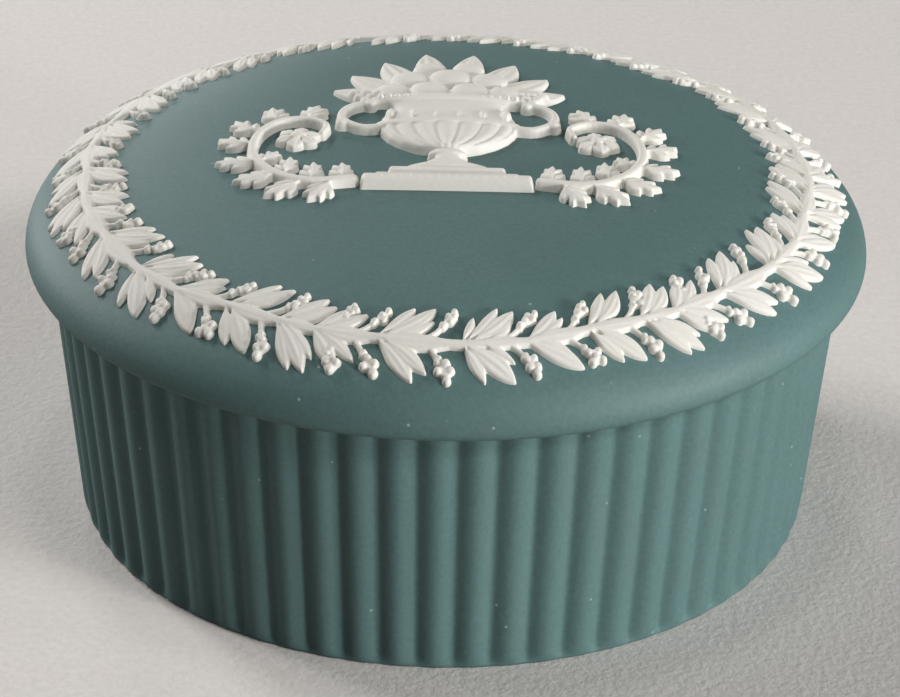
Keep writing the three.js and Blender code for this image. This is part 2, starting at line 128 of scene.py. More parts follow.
# Moulded relief: the steps of its grids, how deep it reaches into the lid, its pressed edges and
# fillets, and the room left round a form where it is drawn.
GRID = 0.1
URN_GRID = 0.14
BURIED = -0.5
RAISED_FROM = 0.02
EDGE_WIDTH = 0.15
FILLET = 0.06
FILLET_FROM = 0.2
MARGIN = 0.6
SLAB_BEVEL = 0.5

# Height at the edge of a form, as a share of the height in its middle.
LEAF_EDGE = 0.4
BALL_EDGE = 0.5
ROD_EDGE = 0.55
SLAB_EDGE = 0.6
VESSEL_EDGE = 0.35

# Leaves drop towards the tip by this share, and are fuller towards it than towards the foot.
TIP_DROP = 0.4
FOOT_POWER = 1.15
TIP_POWER = 0.75

# Wreath: strips from one mould, laid end to end, and a short strip that closes the ring. The fourth
# strip starts just right of the photograph's middle, in degrees from +X, and three lie before it.
STEM_RADIUS = LID_RADIUS * 0.862
STRIP_TURN = 55.2
STRIP_START = 2.5 - 90
STRIP_COUNT = 6
STRIPS_BEFORE_START = 3
STRIP_LENGTH = 45.7
STRIP_HALF_WIDTH = 7

# The tables of one strip give places along the stem and across it towards the rim. First, the
# stem's own line, which swings a little.
STEM = [
    (0, 0), (8, 0), (12, -0.4), (18, -0.9), (22, -0.6), (26, -0.3), (30, -0.4), (35, -0.45), (40, -0.4),
    (45.7, 0),
]
STEM_WIDTH = 1.35

# Leaves that lie along the stem: start, end, width.
SPINDLES = [
    (0.2, 9.4, 1.7), (7.6, 16.2, 2.3), (15.0, 24.0, 2.2), (22.4, 29.4, 1.7), (27.6, 36.2, 2.4),
    (34.8, 45.7, 2.6),
]

# Side leaves: foot, tip, width.
LEAVES = [
    ((0.3, 0.3), (2.5, 4.8), 1.7), ((0.8, 0.4), (5.8, 4.8), 2.9), ((3.0, 0.8), (6.1, 2.7), 1.3),
    ((0.2, -0.8), (1.8, -4.3), 1.4), ((1.0, -0.8), (5.2, -5.8), 1.9), ((1.6, -0.7), (7.2, -5.0), 2.7),
    ((3.6, -0.8), (6.4, -2.6), 1.3),
    ((8.0, 0.5), (13.7, 4.0), 2.7), ((9.5, 0.6), (12.8, 2.0), 1.4),
    ((8.3, -0.8), (12.8, -4.4), 2.3), ((9.4, -1.0), (13.4, -3.2), 1.5),
    ((16.3, 0.0), (18.4, 4.0), 2.1), ((17.0, 0.0), (21.1, 4.3), 2.7),
    ((16.2, -1.6), (20.3, -6.1), 2.1), ((17.2, -1.5), (22.6, -5.9), 2.4),
    ((23.6, 0.2), (26.6, 4.9), 2.1), ((24.0, 0.2), (28.4, 4.9), 2.3), ((24.6, 0.3), (28.9, 3.4), 1.6),
    ((23.4, -1.0), (27.9, -5.5), 2.5), ((24.2, -0.9), (29.4, -4.5), 2.3),
    ((28.3, 0.4), (31.4, 3.6), 2.4), ((28.8, 0.4), (33.6, 3.0), 1.9),
    ((28.3, -0.8), (31.8, -4.4), 2.4), ((29.3, -0.8), (33.8, -3.9), 2.0),
    ((36.2, 0.3), (40.3, 4.7), 2.4), ((36.8, 0.2), (41.8, 3.8), 2.2),
    ((36.2, -0.9), (39.8, -5.7), 2.1), ((36.8, -0.9), (42.6, -5.7), 2.5), ((37.6, -0.9), (42.5, -3.6), 1.7),
]
LEAF_HEIGHT = 0.75
LEAF_HEIGHT_DRIFT = 0.06
LEAF_LEAD = 0.9
LEAF_BOW = 0.07
LEAF_WIDTH_SHARE = 0.94
SPINDLE_HEIGHT = LEAF_HEIGHT + 0.1

# Berry clusters: where the stalk leaves the stem, then the berries. The stalk bends at an elbow,
# given as the share of the way from the stem to the cluster's middle, along and across.
CLUSTERS = [
    ((6.0, 0.8), (7.4, 2.3), (8.2, 2.2), (7.6, 3.2), (8.4, 3.2), (8.2, 4.0)),
    ((4.6, -0.8), (7.5, -2.5), (8.2, -3.0), (8.8, -3.8), (9.3, -3.3), (9.8, -4.1)),
    ((12.6, 0.8), (14.6, 2.3), (15.7, 2.3), (15.2, 3.0), (14.7, 3.5), (15.9, 3.4)),
    ((12.6, -1.2), (14.8, -2.7), (15.5, -3.3), (16.0, -4.2), (16.6, -3.6), (16.7, -4.6)),
    ((20.8, 0.4), (22.4, 2.3), (23.1, 3.0), (22.3, 3.3), (22.7, 4.2)),
    ((20.8, -1.6), (23.8, -3.5), (24.2, -2.8), (24.2, -4.4), (24.9, -4.2), (24.7, -5.2)),
    ((29.8, 2.6), (30.6, 3.3), (31.8, 3.3), (31.2, 4.1)),
    ((30.2, -3.2), (31.1, -4.2), (32.1, -4.2), (31.6, -4.9)),
    ((32.6, 0.6), (35.1, 2.4), (36.0, 2.9), (34.8, 3.4), (36.0, 4.0)),
    ((32.8, -1.0), (34.9, -2.8), (35.9, -3.1), (35.6, -3.9), (36.3, -4.6)),
    ((41.6, 0.7), (43.9, 2.5), (43.0, 3.4), (44.4, 3.3), (44.0, 4.4)),
    ((41.4, -1.0), (43.6, -2.8), (44.4, -3.4), (44.2, -4.2), (44.9, -4.2), (45.0, -4.9)),
]
BERRY_HEIGHT = 0.9
BERRY_RADIUS = 0.54
BERRY_DRIFT = 0.05
CORE_RADIUS = 0.85
CORE_HEIGHT = BERRY_HEIGHT - 0.3
STALK_LEAD = 0.6
STALK_WIDTH = 0.6
STALK_HEAD_WIDTH = 0.9
STALK_HEIGHT = 0.55
STALK_ELBOW = (0.5, 0.38)

# Small berries along a stalk: share of the way to the cluster's middle, and how far to the side.
STALK_BERRIES = [(0.35, 0.22), (0.55, -0.28), (0.75, 0.3)]
STALK_BERRY_RADIUS = 0.42
STALK_BERRY_HEIGHT = BERRY_HEIGHT - 0.12

# Urn, drawn upright: the corners of its sheet, and the fan's leaves as tip across, tip up, width.
URN_LOW = (-19, -15)
URN_HIGH = (19, 36)
FAN = [
    (-15.6, 17.6, 4.6), (-13.4, 23.2, 4.6), (-9.0, 28.6, 4.8), (-3.3, 32.4, 4.8), (3.4, 32.3, 4.8),
    (9.1, 28.4, 4.8), (13.5, 23.0, 4.6), (15.7, 17.4, 4.6),
]
FAN_FOOT = 14.5
FAN_FOOT_SHARE = 0.25
FAN_HEIGHT = 1.0
FAN_BOW = -0.03

# Fruit: across, up, radius, height.
FRUIT = [
    (-7.4, 16.2, 2.5, 1.6), (7.4, 16.0, 2.4, 1.6), (-2.6, 16.4, 2.8, 1.8), (2.8, 16.2, 2.8, 1.8),
    (-5.2, 20.4, 2.7, 1.7), (0.2, 20.8, 3.0, 1.9), (5.4, 20.2, 2.6, 1.7),
    (-2.7, 24.8, 2.3, 1.5), (2.6, 24.9, 2.3, 1.5),
]
GRAPE_ROWS = (4, 3, 2, 1)
GRAPES_AT = (10.4, 15.6)
GRAPE_PITCH = (1.5, 1.25)
GRAPE_RADIUS = 0.85
GRAPE_HEIGHT = 1.4

# Plinth: low corner, high corner, height of each step.
PLINTH = [
    ((-11, -13), (11, -10.6), 1.5), ((-9.4, -10.8), (9.4, -9.6), 1.2), ((-7.6, -9.8), (7.6, -8.2), 1.35),
]

# The urn's turned forms: (up, half width) from the bottom of each, and its height over the lid.
URN_FOOT = ([(-8.4, 5.6), (-7.4, 5.4), (-6.6, 3.4), (-5.4, 1.9), (-3.6, 1.6), (-2.6, 2.2)], 1.4)
URN_KNOP = ([(-4.4, 2.0), (-4.0, 2.6), (-3.4, 2.6), (-3.0, 2.0)], 1.5)
URN_BOWL = ([(-2.9, 2.0), (-2.0, 4.2), (-0.6, 6.2), (1.2, 7.8), (3.2, 8.8), (4.6, 9.1)], 2.0)
URN_BELT = ([(4.3, 9.5), (5.0, 9.8), (5.7, 9.5)], 2.1)
URN_NECK = ([(5.4, 9.2), (7.4, 8.9), (9.0, 8.0), (10.4, 7.2), (11.6, 7.4), (12.6, 8.6)], 1.7)
URN_RIM = ([(12.3, 9.8), (13.0, 10.3), (13.9, 10.1)], 2.0)
FLUTE_COUNT = 9
FLUTE_DEPTH = 0.3

# Small leaves on the neck, handles with a knop, and rows of beads on the rim and the plinth.
NECK_LEAF_COUNT = 6
NECK_LEAF_PITCH = 3.04
NECK_LEAF_SPAN = (5.7, 10.2)
NECK_LEAF_WIDTH = 1.7
NECK_LEAF_HEIGHT = 1.95
HANDLE = [(8.8, 4.6), (11.4, 4.4), (13.8, 6.6), (14.0, 9.2), (12.6, 11.4), (9.6, 12.8)]
HANDLE_WIDTH = 1.4
HANDLE_HEIGHT = 1.25
HANDLE_KNOP = (13.9, 5.8)
HANDLE_KNOP_RADIUS = 1.0
HANDLE_KNOP_HEIGHT = 1.4
RIM_BEADS = {"count": 17, "pitch": 1.12, "up": 13.1, "radius": 0.42, "height": 2.1}
PLINTH_BEADS = {"count": 15, "pitch": 1.2, "up": -11.8, "radius": 0.4, "height": 1.7}

# Scroll of leaves on each side of the urn, drawn for the right side. Leaves: foot, tip.
OUTER_LEAVES = [
    ((14.4, -12.0), (17.6, -16.8)), ((18.0, -12.0), (23.2, -15.4)), ((21.4, -10.2), (27.4, -11.2)),
    ((24.0, -6.4), (30.0, -5.6)), ((25.0, -1.4), (30.0, 1.6)), ((24.6, 2.4), (28.2, 7.4)),
    ((22.2, 5.8), (23.4, 11.6)), ((18.6, 6.8), (17.0, 12.0)),
]
INNER_LEAVES = [
    ((13.4, -11.8), (13.6, -6.2)), ((17.4, -12.2), (17.2, -6.0)), ((21.0, -10.4), (20.2, -4.4)),
    ((24.2, -6.2), (21.8, -2.8)),
]
SCROLL = [
    (12, -11.6), (17.4, -12.3), (22, -9.8), (24.9, -4.8), (25, 1), (22.6, 5.6), (18.8, 6.8), (16, 4.8),
    (16.4, 2.2),
]
SCROLL_LOW = (10.5, -18)
SCROLL_HIGH = (31.5, 13.5)
OUTER_LEAF_WIDTH = 3.8
OUTER_LEAF_HEIGHT = 1.25
INNER_LEAF_WIDTH = 3.2
INNER_LEAF_HEIGHT = 1.2
SCROLL_LEAF_BOW = 0.3
SCROLL_WIDTH = 1.7
SCROLL_END_WIDTH = 1.1
SCROLL_HEIGHT = 1.35

# Side lobes of a scroll leaf, in pairs: start and end along it, reach to the side, width.
LOBES = [(0.42, 0.84, 0.38, 0.34), (0.14, 0.58, 0.5, 0.4)]
LOBE_HEIGHT_SHARE = 0.9
LOBE_BOW = 0.16
MIDDLE_LOBE_SHARE = 0.5

# Rosette at the scroll's end.
ROSETTE_CENTRE = (19.5, 1.2)
ROSETTE_RADIUS = 3.1
ROSETTE_PETALS = 6
ROSETTE_TURN = 160
PETAL_WIDTH = 2.4
PETAL_HEIGHT = 1.35
EYE_RADIUS = 1.1
EYE_HEIGHT = 1.5

# Points from one corner of a drawn curve to the next.
CURVE_STEPS = 4

# Camera, fitted to the lid's outline in the photograph. Its three lengths are in lid radii.
IMAGE_WIDTH_PX = 900
FOCAL_PX = 3327.72
SENSOR_WIDTH = 36
CAMERA_ELEVATION = math.radians(27.6949)
CAMERA_ROLL = math.radians(1.0517)
CAMERA_DISTANCE = 8.2738
CAMERA_SIDE = 0.014
CAMERA_LIFT = 0.3109
CLIP_START_M = 0.01

# Stoneware: dry and matt, with clouds, a fine grain, sparse specks and a faint tooth. Scales are in
# cells per metre, a speck's span is in cells, and the noise span is where the colours run.
CLAY_ROUGHNESS = 0.56
CLOUD_SCALE = 70
GRAIN_SCALE = 1700
SPECK_SCALE = 330
SPECK_SPAN = (0.03, 0.08)
TOOTH_SCALE = 1400
TOOTH_STRENGTH = 0.3
TOOTH_DEPTH_M = 0.0001
NOISE_SPAN = (0.3, 0.7)
BLACK = (0, 0, 0)
WHITE = (1, 1, 1)

# Paper under the box. BOUNCE dims its colour for the light that it throws back on the box.
FLOOR_HALF_M = 3
PAPER = (0.755, 0.709, 0.676)
PAPER_MOTTLE = 0.05
BOUNCE = 0.48
PAPER_ROUGHNESS = 0.9
PAPER_GLOSS = 0.2
PAPER_SCALE = 900
PAPER_STRENGTH = 0.5
PAPER_DEPTH_M = 0.0003

# Studio, in metres: small square lamps on a sphere round the box, and a dim even world.
LAMP_DISTANCE = 1.2
LAMP_SIZE = 0.16
AIM_HEIGHT = 0.03
WORLD_COLOUR = (0.95, 0.97, 1)
WORLD_STRENGTH = 0.03

# Each lamp: azimuth from the front towards the right, elevation, watts. The watts were fitted to the
# photograph's tones and rounded.
LAMPS = [
    # The main light, low from the right.
    (50, 8, 5.5), (65, 8, 4.6), (80, 8, 3.2),
    # Higher up on the right, and straight above.
    (35, 40, 1.0), (50, 40, 3.4), (0, 90, 0.9),
    # Low from behind and the left, for the sheen on the lid.
    (195, 8, 0.8), (195, 22, 1.0), (225, 8, 2.1), (240, 8, 1.1), (240, 22, 2.2), (258, 22, 1.2),
    # High from behind and the left.
    (225, 40, 3.8), (240, 40, 2.0),
]


def lid_height(radius):
    """Height of the lid's outer surface at a distance from the axis."""
    share = np.minimum(1, np.asarray(radius) / LID_RADIUS)
    return RIM_HEIGHT + DOME_RISE * np.sqrt(1 - share**DOME_POWER)


def lid_slope(radius):
    """Slope of the lid's outer surface, rise over run along a radius."""
    step = 0.01
    return (lid_height(radius + step) - lid_height(radius - step)) / (2 * step)


def smooth_object(name, points, faces, body, material, node):
    """A smooth mesh from millimetre points, tied to its CAD body and standing for its node."""
    mesh = bpy.data.meshes.new(name)
    mesh.from_pydata((np.asarray(points) * MM).tolist(), [], faces)
    mesh.polygons.foreach_set("use_smooth", [True] * len(mesh.polygons))
    mesh.update()
    piece = bpy.data.objects.new(name, mesh)
    bpy.context.scene.collection.objects.link(piece)
    mesh.materials.append(material)
    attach(piece, body)
    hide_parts(node)


def turned_grid(profile, columns, sink=None):
    """Points and faces of a profile turned about the axis, closed by a cap at each end.

    The profile is a list of (radius, height, share of the reeds), and sink gives the reeds' depth.
    """
    angles = np.arange(columns) / columns * 2 * math.pi
    reed = np.zeros(columns) if sink is None else sink(angles)
    rows = []
    for radius, height, share in profile:
        reach = np.maximum(radius - reed * share, 0)
        heights = np.full(columns, height)
        rows.append(np.stack([reach * np.sin(angles), -reach * np.cos(angles), heights], 1))
    here = np.arange(columns)
    beside = (here + 1) % columns
    last = len(profile) - 1
    faces = []
    for row in range(last):
        low = row * columns
        high = low + columns
        faces += np.stack([low + here, low + beside, high + beside, high + here], 1).tolist()
    points = np.concatenate([*rows, [[0, 0, profile[0][1]], [0, 0, profile[-1][1]]]])
    first_cap = np.full(columns, len(points) - 2)
    last_cap = np.full(columns, len(points) - 1)
    faces += np.stack([beside, here, first_cap], 1).tolist()
    faces += np.stack([last * columns + here, last * columns + beside, last_cap], 1).tolist()
    return points, faces


def arc(centre, radius, start, stop, steps, share=0.0):
    """Points of (radius, height, share) along a circular arc of the profile, angles in degrees."""
    turns = np.radians(np.linspace(start, stop, steps))
    return [(centre[0] + radius * math.cos(t), centre[1] + radius * math.sin(t), share) for t in turns]


def reed_sink(angles):
    """How far the wall stands back from the reed crests, with a soft valley between two reeds."""
    place = (angles - RIB_TURN) / (2 * math.pi) * RIB_COUNT
    share = (place + 0.5) % 1 - 0.5
    swell = np.sqrt(np.cos(math.pi * share) ** 2 + VALLEY_ROUND**2)
    crest = math.sqrt(1 + VALLEY_ROUND**2)
    return RIB_DEPTH * (crest - swell) / (crest - VALLEY_ROUND)


def foot_profile():
    """The shallow hollow underneath, the ring that the pot stands on, and its plain outer edge."""
    rings = (AXIS_RADIUS, *HOLLOW_RINGS, HOLLOW_RADIUS - HOLLOW_EDGE)
    profile = [(radius, FOOT_HEIGHT, 0) for radius in rings]
    profile += arc((HOLLOW_RADIUS - 2 * HOLLOW_ROUND, FOOT_HEIGHT - HOLLOW_ROUND), HOLLOW_ROUND, 90, 45, 4)
    profile += arc((HOLLOW_RADIUS + RING_INSET, RING_ROUND), RING_ROUND, 225, 270, 4)
    profile += [(WALL_FOOT_RADIUS - inset, 0, 0) for inset in RING_INSETS]
    profile += arc((WALL_FOOT_RADIUS - FOOT_INSET - FOOT_EDGE, FOOT_EDGE), FOOT_EDGE, -90, -30, 4, 0.1)
    return profile


def wall_profile():
    """The reeds, from where they rise out of the foot edge to the rounded edge of the seat."""
    profile = []
    for height, share in REED_START:
        radius = WALL_FOOT_RADIUS - REED_START_INSET * (1 - share) + height / WALL_HEIGHT * WALL_LEAN
        profile.append((radius, height, share))
    for share in np.linspace(0.1, 0.985, WALL_RINGS):
        profile.append((WALL_FOOT_RADIUS + WALL_LEAN * share, WALL_HEIGHT * share, 1.0))
    profile += arc((WALL_TOP_RADIUS - WALL_EDGE, WALL_HEIGHT - WALL_EDGE), WALL_EDGE, 0, 90, 4, 1.0)
    return profile


def lip_profile():
    """The flat seat, and the upright lip with its rounded top."""
    profile = [(LIP_RADIUS + SEAT_FLAT_FROM, WALL_HEIGHT, 0.4), (LIP_RADIUS + LIP_ROOT, WALL_HEIGHT, 0)]
    profile += [(LIP_RADIUS, WALL_HEIGHT + LIP_ROOT, 0), (LIP_RADIUS, POT_TOP - LIP_STRAIGHT, 0)]
    profile += arc((LIP_RADIUS - LIP_ROUND, POT_TOP - LIP_ROUND), LIP_ROUND, 0, 90, 6)
    profile += arc((BORE_RADIUS + LIP_ROUND, POT_TOP - LIP_ROUND), LIP_ROUND, 90, 180, 6)
    return profile


def inside_profile():
    """The bore, which narrows a little on its way down, the rounded corner and the flat floor."""
    corner = (FLOOR_RADIUS - CORNER_RADIUS, FLOOR_TOP + CORNER_RADIUS)
    profile = [(BORE_RADIUS, WALL_HEIGHT, 0)]
    for share in (0.75, 0.5, 0.25):
        radius = FLOOR_RADIUS + (BORE_RADIUS - FLOOR_RADIUS) * share
        profile.append((radius, corner[1] + (WALL_HEIGHT - corner[1]) * share, 0))
    profile += arc(corner, CORNER_RADIUS, 0, -90, 10)
    profile += [(radius, FLOOR_TOP, 0) for radius in (*FLOOR_RINGS, AXIS_RADIUS)]
    return profile


def make_pot(material):
    """The pot in one piece, turned from the middle of its underside round to the middle of its floor."""
    profile = foot_profile() + wall_profile() + lip_profile() + inside_profile()
    points, faces = turned_grid(profile, RIB_COUNT * RIB_STEPS, reed_sink)
    smooth_object("pot_fine", points, faces, "body", material, "pot")


def lid_outside():
    """The low dome, its full shoulder and the rim that curls under."""
    profile = [(AXIS_RADIUS, LID_TOP, 0)]
    for lift in np.radians(np.linspace(87, 0, DOME_RINGS)):
        radius = LID_RADIUS * math.cos(lift) ** (2 / DOME_POWER)
        profile.append((radius, RIM_HEIGHT + DOME_RISE * math.sin(lift), 0))
    for turn in np.radians(np.linspace(-12, -90, CURL_RINGS)):
        radius = LID_RADIUS - RIM_CURL_WIDTH + RIM_CURL_WIDTH * math.cos(turn)
        profile.append((radius, RIM_HEIGHT + RIM_CURL_HEIGHT * math.sin(turn), 0))
    return profile


def lid_underside():
    """The flat that rests on the seat, the skirt round the lip and the hollow of the dome."""
    profile = [(SKIRT_RADIUS + out, WALL_HEIGHT, 0) for out in (UNDERSIDE_WIDTH, SKIRT_CHAMFER)]
    profile += [(SKIRT_RADIUS, WALL_HEIGHT + SKIRT_CHAMFER, 0), (SKIRT_RADIUS, SHOULDER_FOOT, 0)]
    inner_radius = LID_RADIUS * SHOULDER_SHARE
    rise = float(lid_height(inner_radius)) - LID_THICKNESS - SHOULDER_FOOT
    for turn in np.linspace(0, 1, SHOULDER_RINGS + 1)[1:] * math.pi / 2:
        radius = SKIRT_RADIUS - (SKIRT_RADIUS - inner_radius) * (1 - math.cos(turn))
        profile.append((radius, SHOULDER_FOOT + rise * math.sin(turn), 0))
    for radius in LID_RADIUS * np.linspace(0.8, 0.05, INSIDE_RINGS):
        profile.append((radius, float(lid_height(radius)) - LID_THICKNESS, 0))
    profile.append((AXIS_RADIUS, LID_TOP - LID_THICKNESS, 0))
    return profile


def make_lid(material):
    """The lid in one piece."""
    profile = lid_outside() + lid_underside()
    points, faces = turned_grid(profile[::-1], LID_COLUMNS)
    smooth_object("lid_fine", points, faces, "cover", material, "lid")


def domed(height, edge, across):
    """A top that swells from a share of its height at the edge, where across is 1, to all of it."""
    return height * (edge + (1 - edge) * np.sqrt(np.clip(1 - across**2, 0, 1)))


def raised(inside, top):
    """Height of a form with steep pressed edges: inside is the distance in from its outline."""
    step = np.clip((inside + EDGE_WIDTH) / (2 * EDGE_WIDTH), 0, 1)
    step = step * step * (3 - 2 * step)
    return BURIED + (top - BURIED) * step


def grid_faces(ids, i, j):
    """Four-cornered faces on the grid's cells (i, j), from the numbers of the grid's points."""
    return np.stack([ids[i, j], ids[i + 1, j], ids[i + 1, j + 1], ids[i, j + 1]], 1)


class Relief:
    """A moulded relief as heights over a flat grid: x along, y across, both in millimetres."""

    def __init__(self, low, high, grid=GRID):
        self.grid = grid
        self.x = np.arange(low[0], high[0] + grid, grid)
        self.y = np.arange(low[1], high[1] + grid, grid)
        self.height = np.full((len(self.x), len(self.y)), BURIED)

    def window(self, low, high):
        """The part of the grid between two corners, and its points' places."""
        i = slice(*np.searchsorted(self.x, [low[0], high[0]]))
        j = slice(*np.searchsorted(self.y, [low[1], high[1]]))
        x, y = np.meshgrid(self.x[i], self.y[j], indexing="ij")
        return (i, j), x, y

    def merge(self, where, shape):
        """Joins a shape with what is there, with a small soft fillet above the lid's surface."""
        old = self.height[where]
        gap = old - shape
        soft = 0.5 * (old + shape + np.sqrt(gap * gap + FILLET * FILLET)) - 0.5 * FILLET
        hard = np.maximum(old, shape)
        self.height[where] = np.where(hard > FILLET_FROM, np.maximum(hard, soft), hard)

    def leaf(self, foot, tip, width, height, curve=0.0, vein=0.05, belly=0.58):
        """A pointed leaf, widest at the belly, with fine ribs along it."""
        reach = max(width, abs(curve)) + MARGIN
        low = (min(foot[0], tip[0]) - reach, min(foot[1], tip[1]) - reach)
        high = (max(foot[0], tip[0]) + reach, max(foot[1], tip[1]) + reach)
        where, x, y = self.window(low, high)
        along = np.array([tip[0] - foot[0], tip[1] - foot[1]])
        length = float(np.hypot(*along))
        along = along / length
        u = ((x - foot[0]) * along[0] + (y - foot[1]) * along[1]) / length
        v = -(x - foot[0]) * along[1] + (y - foot[1]) * along[0]
        v = v - curve * np.sin(math.pi * np.clip(u, 0, 1))
        held = np.clip(u, 0.001, 0.999)
        swell = np.sin(math.pi * held ** (math.log(0.5) / math.log(belly)))
        swell = swell ** np.where(held < belly, FOOT_POWER, TIP_POWER)
        half = np.maximum(width / 2 * swell, 0.02)
        beyond = np.maximum(np.maximum(u - 1, -u), 0) * length
        inside = np.where(beyond > 0, -np.hypot(beyond, v), half - np.abs(v))
        across = np.clip(np.abs(v) / half, 0, 1)
        # The ribs fade out at the foot, at the tip and where the leaf is narrow.
        ribs = np.clip(3 * held, 0, 1) * np.clip(4 * (1 - held), 0, 1) * np.clip(half - 0.3, 0, 1)
        top = domed(height, LEAF_EDGE, across) * (1 - TIP_DROP * held**2)
        self.merge(where, raised(inside, top + vein * ribs * np.cos(3 * math.pi * across)))

    def ball(self, centre, radius, height):
        """A berry, a fruit or a bead: a dome on a short collar."""
        reach = radius + MARGIN
        centre = np.asarray(centre, float)
        where, x, y = self.window(centre - reach, centre + reach)
        away = np.hypot(x - centre[0], y - centre[1])
        self.merge(where, raised(radius - away, domed(height, BALL_EDGE, away / radius)))

    def rod(self, path, width, height, end_width=None):
        """A rounded rod along a path, such as a stem, a stalk or a handle."""
        end_width = width if end_width is None else end_width
        path = np.asarray(path, float)
        reach = max(width, end_width) + MARGIN
        where, x, y = self.window(path.min(0) - reach, path.max(0) + reach)
        best = np.full(x.shape, -9.0)
        best_top = np.full(x.shape, BURIED)
        steps = len(path) - 1
        for k in range(steps):
            start = path[k]
            step = path[k + 1] - start
            t = np.clip(((x - start[0]) * step[0] + (y - start[1]) * step[1]) / float(step @ step), 0, 1)
            away = np.hypot(x - start[0] - t * step[0], y - start[1] - t * step[1])
            half = (width + (end_width - width) * (k + t) / steps) / 2
            inside = half - away
            better = inside > best
            best = np.where(better, inside, best)
            best_top = np.where(better, domed(height, ROD_EDGE, away / half), best_top)
        self.merge(where, raised(best, best_top))

    def slab(self, low, high, height):
        """A rectangular block with bevelled edges."""
        where, x, y = self.window((low[0] - MARGIN, low[1] - MARGIN), (high[0] + MARGIN, high[1] + MARGIN))
        inside = np.minimum(np.minimum(x - low[0], high[0] - x), np.minimum(y - low[1], high[1] - y))
        bevel = np.clip(inside / SLAB_BEVEL, 0, 1)
        self.merge(where, raised(inside, height * (SLAB_EDGE + (1 - SLAB_EDGE) * bevel)))

    def vessel(self, outline, height, flutes=0):
        """Half of a turned vessel, seen from the side: outline is a list of (height up, half width)."""
        ups, halves = zip(*outline)
        reach = max(halves) + MARGIN
        where, x, y = self.window((-reach, ups[0] - MARGIN), (reach, ups[-1] + MARGIN))
        half = np.interp(y, ups, halves)
        slope = np.gradient(half, self.grid, axis=1)
        inside = np.minimum((half - np.abs(x)) / np.hypot(1, slope), np.minimum(y - ups[0], ups[-1] - y))
        across = np.clip(x / half, -1, 1)
        top = domed(height, VESSEL_EDGE, across)
        if flutes:
            top = top - FLUTE_DEPTH * (1 - np.abs(np.cos(np.arcsin(across) * flutes)))
        self.merge(where, raised(inside, top))

    def soften(self):
        """Wears the pressed edges a little, as firing does."""
        for axis in (0, 1):
            ahead = np.roll(self.height, 1, axis)
            behind = np.roll(self.height, -1, axis)
            self.height = 0.5 * self.height + 0.25 * (ahead + behind)

    def geometry(self, bend):
        """Points and faces of a closed sheet, with each point put in place by the bend function."""
        kept = self.height > BURIED + RAISED_FROM
        cells = kept[:-1, :-1] | kept[1:, :-1] | kept[:-1, 1:] | kept[1:, 1:]
        inner = np.zeros(self.height.shape, bool)
        inner[1:-1, 1:-1] = cells[:-1, :-1] & cells[1:, :-1] & cells[:-1, 1:] & cells[1:, 1:]
        used = np.zeros(self.height.shape, bool)
        for corner in (used[:-1, :-1], used[1:, :-1], used[:-1, 1:], used[1:, 1:]):
            corner |= cells
        x, y = np.meshgrid(self.x, self.y, indexing="ij")
        upper = np.full(self.height.shape, -1)
        upper[used] = np.arange(used.sum())
        lower = upper.copy()
        lower[inner] = used.sum() + np.arange(inner.sum())
        top = bend(x[used], y[used], self.height[used])
        base = bend(x[inner], y[inner], np.full(inner.sum(), BURIED))
        i, j = np.nonzero(cells)
        faces = grid_faces(upper, i, j).tolist() + grid_faces(lower, i, j)[:, ::-1].tolist()
        return np.concatenate([top, base]), faces


def stem_place(along):
    """The stem's middle at this length along the strip, with the lid's centre on the positive side."""
    return (along, -float(np.interp(along, *zip(*STEM))))


def draw_side_leaves(flat, length, drift):
    """Leaves on both sides of the stem, each rooted under it, with small chance in their height."""
    for foot, tip, width in LEAVES:
        if tip[0] < length:
            root = stem_place(max(0, foot[0] - LEAF_LEAD))
            bow = math.copysign(LEAF_BOW, tip[1]) * (tip[0] - root[0])
            height = LEAF_HEIGHT + drift.uniform(-LEAF_HEIGHT_DRIFT, LEAF_HEIGHT_DRIFT)
            flat.leaf(root, (tip[0], -tip[1]), LEAF_WIDTH_SHARE * width, height, curve=bow)


def draw_clusters(flat, length, drift):
    """Stalks with their berries, with small chance in the berries' size."""
    for root, *berries in CLUSTERS:
        if berries[-1][0] < length:
            middle = np.mean(berries, axis=0) * (1, -1)
            start = stem_place(root[0] - STALK_LEAD)
            elbow = [b * m + (1 - b) * s for b, m, s in zip(STALK_ELBOW, middle, start)]
            flat.rod([start, elbow, middle], STALK_WIDTH, STALK_HEIGHT, STALK_HEAD_WIDTH)
            flat.ball(middle, CORE_RADIUS, CORE_HEIGHT)
            for x, y in berries:
                radius = BERRY_RADIUS + drift.uniform(-BERRY_DRIFT, BERRY_DRIFT)
                flat.ball((x, -y), radius, BERRY_HEIGHT + drift.uniform(-2 * BERRY_DRIFT, BERRY_DRIFT))
            for share, sideways in STALK_BERRIES:
                spot = share * middle + (1 - share) * np.array(elbow) + (sideways, 0)
                flat.ball(spot, STALK_BERRY_RADIUS, STALK_BERRY_HEIGHT)


def draw_stem(flat, length):
    """The stem, and the slim leaves that lie along it."""
    for start, stop, width in SPINDLES:
        if start < length:
            end = stem_place(min(stop, length))
            flat.leaf(stem_place(start), end, width, SPINDLE_HEIGHT, vein=0.04, belly=0.5)
    line = [stem_place(x) for x, _ in STEM if x < length]
    flat.rod(line + [stem_place(length)], STEM_WIDTH, LEAF_HEIGHT)


def make_strip(length, seed):
    """One wreath strip laid flat: along the stem, and across it towards the lid's centre."""
    flat = Relief((-1, -STRIP_HALF_WIDTH), (length + 1, STRIP_HALF_WIDTH))
    drift = np.random.default_rng(seed)
    draw_side_leaves(flat, length, drift)
    draw_clusters(flat, length, drift)
    draw_stem(flat, length)
    flat.soften()
    return flat


